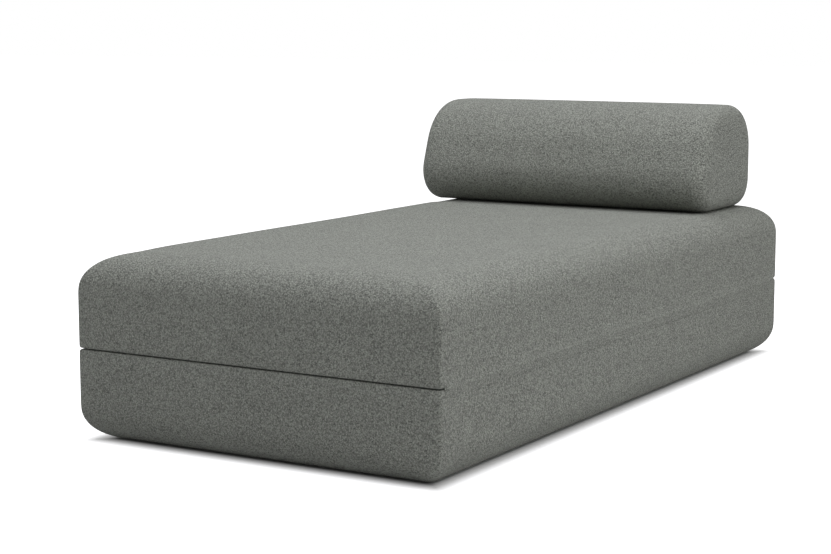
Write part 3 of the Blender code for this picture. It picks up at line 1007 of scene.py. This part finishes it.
def resampled(outline, shares):
    """Points at the given shares of a closed outline's length."""
    closed, reached = lengths_along(outline)
    return np.column_stack([np.interp(shares, reached / reached[-1], closed[:, k]) for k in (0, 1)])


def bolster_marks(spacing, slot_low, slot_high):
    """Shares round the outline for the mesh's long edges, with the zip slot's two sides among them."""
    closed, reached = lengths_along(bolster_outline(0.0))
    back = np.flatnonzero(closed[:, 0] > closed[:, 0].max() - 0.01 * MM)
    shares = reached / reached[-1]
    fixed = [float(np.interp(z, closed[back, 1], shares[back])) for z in (slot_low, slot_high)]
    marks = even_steps(0.0, 1.0, spacing / reached[-1], fixed)[:-1]
    # Both end grids are square, so the count has to be a multiple of four.
    for _ in range((-len(marks)) % 4):
        gaps = np.diff(np.append(marks, 1.0))
        gaps[[i for i, mark in enumerate(marks) if min(abs(mark - f) for f in fixed) < 1e-6]] = 0
        widest = int(gaps.argmax())
        marks = np.insert(marks, widest + 1, marks[widest] + gaps[widest] / 2)
    return np.roll(marks, len(marks) // 8)


def bolster_stations(left, right, slot_low, slot_high, angles):
    """Places along the bolster and how far the outline is drawn in at each."""
    look = bpy.context.scene.futon_bolster
    radius = look.end_radius
    curve = [(radius * (1 - math.cos(angle)), radius * (1 - math.sin(angle))) for angle in angles]
    straight = even_steps(left + radius, right - radius, look.spacing, (slot_low, slot_high))[1:-1]
    stations = [(left + along, inset) for along, inset in curve]
    stations += [(x, 0.0) for x in straight]
    return stations + [(right - along, inset) for along, inset in curve[::-1]]


class FUTON_OT_bolster(bpy.types.Operator):
    """Bolster with its long wrap and two ends"""

    bl_idname = "futon.bolster"
    bl_label = "Bolster"

    def execute(self, context):
        make_bolster()
        return {"FINISHED"}


def make_bolster():
    look = bpy.context.scene.futon_bolster
    thickness = bpy.context.scene.futon_fabric.thickness
    left = node_box("bolster_left_end")[0][0] + START_INSET
    right = node_box("bolster_right_end")[1][0] - START_INSET
    slot_low, slot_high = zip_opening("bolster")
    marks = bolster_marks(look.spacing, slot_low[2], slot_high[2])
    angles = np.linspace(0, math.pi / 2, BOLSTER_END_STEPS + 1)
    stations = bolster_stations(left, right, slot_low[0], slot_high[0], angles)
    rings = []
    for x, inset in stations:
        flat = resampled(bolster_outline(inset), marks)
        rings.append(np.column_stack([np.full(len(flat), x), flat]))
    form = Form(rings, len(marks) // 4, len(marks) // 4)
    down = np.clip(-normals_of(form.points, form.faces)[:, 2], 0, 1)
    ring_of = np.arange(len(form.points)) // form.count
    last_ring = len(stations) - 1 - BOLSTER_END_STEPS
    held = (down > 0.98) | np.isin(ring_of, (BOLSTER_END_STEPS, last_ring))
    points = swollen(form, held, look.swell * (1 - down) ** 2)
    kinds, places = form.kinds, form.places[:, 0]
    left_end = (kinds == 0) | ((kinds == 1) & (places < BOLSTER_END_STEPS))
    right_end = (kinds == 2) | ((kinds == 1) & (places >= last_ring))
    middles = form.points[form.faces].mean(axis=1)
    slot = (kinds == 1) & (middles[:, 1] > form.points[:, 1].mean())
    slot &= within(middles, slot_low, slot_high)
    wrap_faces = form.faces[~(left_end | right_end | slot)]
    wrap = skin_with_slot("bolster_wrap_fabric", points, wrap_faces, form.faces[slot], thickness)
    finish_piece(wrap, "bolster", "cover_fabric", "bolster_wrap")
    for side, chosen in (("left", left_end), ("right", right_end)):
        name = f"bolster_{side}_end_fabric"
        end = skin(name, points, form.faces[chosen], cover_material(), thickness)
        finish_piece(end, "bolster", "cover_fabric", f"bolster_{side}_end")


# ---- Zips ----

def repeated(points, faces, places):
    """Copies of a small shape at many places, as one list of points and one of faces."""
    count = len(points)
    everywhere = (np.asarray(places)[:, None] + points[None]).reshape(-1, 3)
    copies = [tuple(corner + k * count for corner in face) for k in range(len(places)) for face in faces]
    return everywhere, copies


def plain_mesh(name, points, faces, material):
    mesh = bpy.data.meshes.new(name)
    mesh.from_pydata(np.asarray(points).tolist(), [], faces)
    mesh.update()
    mesh.shade_smooth()
    mesh.set_sharp_from_angle(angle=math.radians(35))
    mesh.materials.append(material)
    return mesh


def bevelled_block(size, rounding):
    """The points and faces of a block with rounded edges, centred on the origin."""
    shape = bmesh.new()
    bmesh.ops.create_cube(shape, size=1.0)
    for vertex in shape.verts:
        vertex.co = Vector(a * b for a, b in zip(vertex.co, size))
    bmesh.ops.bevel(shape, geom=shape.edges[:], offset=rounding, segments=1, affect="EDGES")
    shape.verts.index_update()
    points = np.array([tuple(v.co) for v in shape.verts])
    faces = [tuple(v.index for v in f.verts) for f in shape.faces]
    shape.free()
    return points, faces


def make_teeth(prefix):
    """Two rows of teeth that mesh along the middle, with a stop at each end."""
    low, high = node_box(f"{prefix}_zip_teeth")
    middle = (low + high) / 2
    depth = high[1] - low[1]
    pitch, tooth_width, stop = 1.45 * MM, 1.3 * MM, 2.4 * MM
    across = high[2] - low[2]
    tooth, faces = bevelled_block((tooth_width, depth, across * 0.62), 0.22 * MM)
    count = int((high[0] - low[0] - 2 * stop) / pitch)
    first = middle[0] - pitch * (count - 1) / 2
    places = [
        (first + pitch * k, middle[1], middle[2] + across * 0.19 * (1 if k % 2 else -1)) for k in range(count)
    ]
    points, copies = repeated(tooth, faces, places)
    block, block_faces = bevelled_block((stop * 0.9, depth, across), 0.4 * MM)
    ends = [(low[0] + stop / 2, middle[1], middle[2]), (high[0] - stop / 2, middle[1], middle[2])]
    stops, stop_copies = repeated(block, block_faces, ends)
    shift = len(points)
    copies += [tuple(corner + shift for corner in face) for face in stop_copies]
    name = f"{prefix}_zip_coil"
    chain = np.vstack([points, stops])
    piece = link(name, plain_mesh(name, chain, copies, cell_material("zip_teeth_plastic")))
    finish_piece(piece, body_of(f"{prefix}_zip_teeth"), "zip_teeth", f"{prefix}_zip_teeth")


def plate(shape, outline, near, far, rounding):
    """Adds a plate to the shape: an outline in XZ between two places along Y, with eased edges."""
    front = [shape.verts.new((x, far, z)) for x, z in outline]
    back = [shape.verts.new((x, near, z)) for x, z in outline]
    made = [shape.faces.new(front), shape.faces.new(back[::-1])]
    for k in range(len(outline)):
        j = (k + 1) % len(outline)
        made.append(shape.faces.new((front[k], back[k], back[j], front[j])))
    # Each edge once, in the same order every time.
    edges = list(dict.fromkeys(edge for face in made for edge in face.edges))
    bmesh.ops.bevel(shape, geom=edges, offset=rounding, segments=2, affect="EDGES")


def make_slider(prefix):
    """A saddle with a pointed nose, two rails round the teeth and two lugs for the puller."""
    low, high = node_box(f"{prefix}_zip_slider")
    teeth_low, teeth_high = node_box(f"{prefix}_zip_teeth")
    puller_low, puller_high = node_box(f"{prefix}_zip_puller")
    middle = (low + high) / 2
    half_length, half_width = (high[0] - low[0]) / 2, (high[2] - low[2]) / 2
    clearance, plate_thickness, half_lug = 0.3 * MM, 1.6 * MM, 1.6 * MM
    under = teeth_high[1] + clearance
    over = under + plate_thickness
    shape = bmesh.new()
    plan = ((-1.0, 0.45), (-0.55, 0.92), (-0.1, 1.0), (0.55, 0.84), (1.0, 0.74))
    outline = [(middle[0] + a * half_length, middle[2] + b * half_width) for a, b in plan]
    outline += [(x, 2 * middle[2] - z) for x, z in outline[::-1]]
    plate(shape, outline, under, over, 0.3 * MM)
    inner = (teeth_high[2] - teeth_low[2]) / 2 + 0.35 * MM
    for side in (-1, 1):
        z_near, z_far = middle[2] + side * inner, middle[2] + side * half_width * 0.9
        x_near, x_far = middle[0] - 0.5 * half_length, middle[0] + 0.9 * half_length
        rail = ((x_near, z_near), (x_far, z_near), (x_far, z_far), (x_near, z_far))
        plate(shape, rail, low[1], over - 0.4 * MM, 0.2 * MM)
        lug_near = middle[2] + side * ((puller_high[2] - puller_low[2]) / 2 + clearance)
        x_near, x_far = middle[0] - half_lug, middle[0] + half_lug
        lug = ((x_near, lug_near), (x_far, lug_near), (x_far, z_far), (x_near, z_far))
        plate(shape, lug, over - 0.3 * MM, high[1], 0.3 * MM)
    name = f"{prefix}_zip_saddle"
    saddle = link(name, closed_mesh(name, shape, cell_material("zip_gunmetal")))
    saddle.data.set_sharp_from_angle(angle=math.radians(40))
    finish_piece(saddle, f"{prefix}_slider", "zip_metal", f"{prefix}_zip_slider")


def make_puller(prefix):
    """A flat tab, narrow at its pin and rounded at its grip, with a long hole."""
    low, high = node_box(f"{prefix}_zip_puller")
    middle = (low + high) / 2
    half_width = (high[2] - low[2]) / 2
    length = high[0] - low[0]
    steps = 36
    hole_from, hole_to, hole_half = low[0] + length * 0.62, high[0] - half_width * 0.9, half_width * 0.42
    hole_middle, hole_reach = (hole_from + hole_to) / 2, (hole_to - hole_from) / 2
    outer, inner = [], []
    for k in range(steps):
        angle = 2 * math.pi * k / steps
        c, d = math.cos(angle), math.sin(angle)
        along = low[0] + length * (1 + math.copysign(abs(c) ** 0.35, c)) / 2
        neck = 0.72 + 0.28 * min(1.0, max(0.0, (along - low[0]) / length * 2.2 - 0.3))
        outer.append((along, middle[2] + half_width * neck * math.copysign(abs(d) ** 0.5, d)))
        inner.append((hole_middle + hole_reach * c, middle[2] + hole_half * d))
    points, faces = [], []
    for y in (low[1], high[1]):
        points += [(x, y, z) for x, z in outer] + [(x, y, z) for x, z in inner]
    for k in range(steps):
        j = (k + 1) % steps
        faces.append((k, j, steps + j, steps + k))
        faces.append((2 * steps + k, 3 * steps + k, 3 * steps + j, 2 * steps + j))
        faces.append((k, 2 * steps + k, 2 * steps + j, j))
        faces.append((steps + k, steps + j, 3 * steps + j, 3 * steps + k))
    name = f"{prefix}_zip_tab"
    tab = link(name, plain_mesh(name, points, faces, cell_material("zip_gunmetal")))
    easing = tab.modifiers.new("Eased edges", "BEVEL")
    easing.width = 0.2 * MM
    easing.segments = 2
    easing.limit_method = "ANGLE"
    easing.angle_limit = math.radians(50)
    bake(tab)
    finish_piece(tab, f"{prefix}_puller", "zip_metal", f"{prefix}_zip_puller")


class FUTON_OT_zips(bpy.types.Operator):
    """Teeth, slider, puller and tape of each zip"""

    bl_idname = "futon.zips"
    bl_label = "Zips"

    def execute(self, context):
        for prefix in ("lower", "upper", "bolster"):
            make_teeth(prefix)
            make_slider(prefix)
            make_puller(prefix)
            tape = frame["nodes"][f"{prefix}_zip_tape"]
            tape.data.materials.clear()
            tape.data.materials.append(cell_material("zip_tape_weave"))
        return {"FINISHED"}


# ---- Fillings ----

def filling_from(node_name, name, material):
    """A copy of a plain filling of the frame, with a material of its own."""
    piece = link(name, frame["nodes"][node_name].data.copy())
    piece.data.materials.clear()
    piece.data.materials.append(material)
    return piece


def make_foam(name, finish, slot):
    """A foam block with edges rounded by its cells."""
    piece = filling_from(name, f"{name}_block", finish)
    cells = piece.modifiers.new("Cells", "REMESH")
    cells.mode = "VOXEL"
    cells.voxel_size = 12 * MM
    ease = piece.modifiers.new("Eased edges", "SMOOTH")
    ease.factor = 0.5
    ease.iterations = 2
    bake(piece)
    finish_piece(piece, body_of(name), slot, name)


def make_wadding(name, axis):
    """A fleece sleeve, thinned a little here and there along its length."""
    piece = filling_from(name, f"{name}_fleece", cell_material("fleece_wadding"))
    low, high = node_box(name)
    across = Vector([float(k == axis) for k in range(3)])
    shape = bmesh.new()
    shape.from_mesh(piece.data)
    for place in even_steps(low[axis], high[axis], 40 * MM)[1:-1]:
        everything = shape.verts[:] + shape.edges[:] + shape.faces[:]
        bmesh.ops.bisect_plane(shape, geom=everything, plane_co=across * float(place), plane_no=across)
    shape.normal_update()
    for k, vertex in enumerate(shape.verts):
        dip = 0.5 + 0.5 * math.sin(vertex.co[axis] * 37.0 + vertex.co.z * 53.0)
        vertex.co -= vertex.normal * 0.25 * MM * dip
    shape.to_mesh(piece.data)
    shape.free()
    piece.data.shade_smooth()
    piece.data.set_sharp_from_angle(angle=math.radians(50))
    finish_piece(piece, body_of(name), "wadding", name)


class FUTON_OT_fillings(bpy.types.Operator):
    """Foam blocks and fleece sleeves inside the covers"""

    bl_idname = "futon.fillings"
    bl_label = "Fillings"

    def execute(self, context):
        for prefix in ("lower", "upper"):
            make_foam(f"{prefix}_support_foam", cell_material("firm_foam_cells"), "firm_foam")
            make_foam(f"{prefix}_comfort_foam", cell_material("soft_foam_cells"), "soft_foam")
            make_wadding(f"{prefix}_wadding", 1)
        make_foam("upper_seat_foam", cell_material("soft_foam_cells"), "soft_foam")
        make_foam("bolster_foam", cell_material("firm_foam_cells"), "firm_foam")
        make_wadding("bolster_wadding", 0)
        return {"FINISHED"}


OPERATORS = (
    FUTON_OT_stage,
    FUTON_OT_lower_mattress,
    FUTON_OT_upper_mattress,
    FUTON_OT_fold_fabric,
    FUTON_OT_bolster,
    FUTON_OT_zips,
    FUTON_OT_fillings,
)
GROUPS = {
    "futon_fabric": FutonFabric,
    "futon_mattress": FutonMattress,
    "futon_bolster": FutonBolster,
    "futon_stage": FutonStage,
}


class FUTON_PT_panel(bpy.types.Panel):
    bl_label = "Futon sofa bed"
    bl_idname = "FUTON_PT_panel"
    bl_space_type = "VIEW_3D"
    bl_region_type = "UI"
    bl_category = "Futon"

    def draw(self, context):
        for group in GROUPS:
            box = self.layout.box()
            settings = getattr(context.scene, group)
            for name in type(settings).__annotations__:
                box.prop(settings, name)
        for operator in OPERATORS:
            self.layout.operator(operator.bl_idname)


def register():
    for name, group in GROUPS.items():
        bpy.utils.register_class(group)
        setattr(bpy.types.Scene, name, bpy.props.PointerProperty(type=group))
    for made in (*OPERATORS, FUTON_PT_panel):
        bpy.utils.register_class(made)


def unregister():
    for made in (FUTON_PT_panel, *reversed(OPERATORS)):
        bpy.utils.unregister_class(made)
    for name, group in reversed(GROUPS.items()):
        delattr(bpy.types.Scene, name)
        bpy.utils.unregister_class(group)


def main():
    register()
    for operator in OPERATORS:
        group, name = operator.bl_idname.split(".")
        getattr(getattr(bpy.ops, group), name)()


if __name__ == "__main__":
    main()
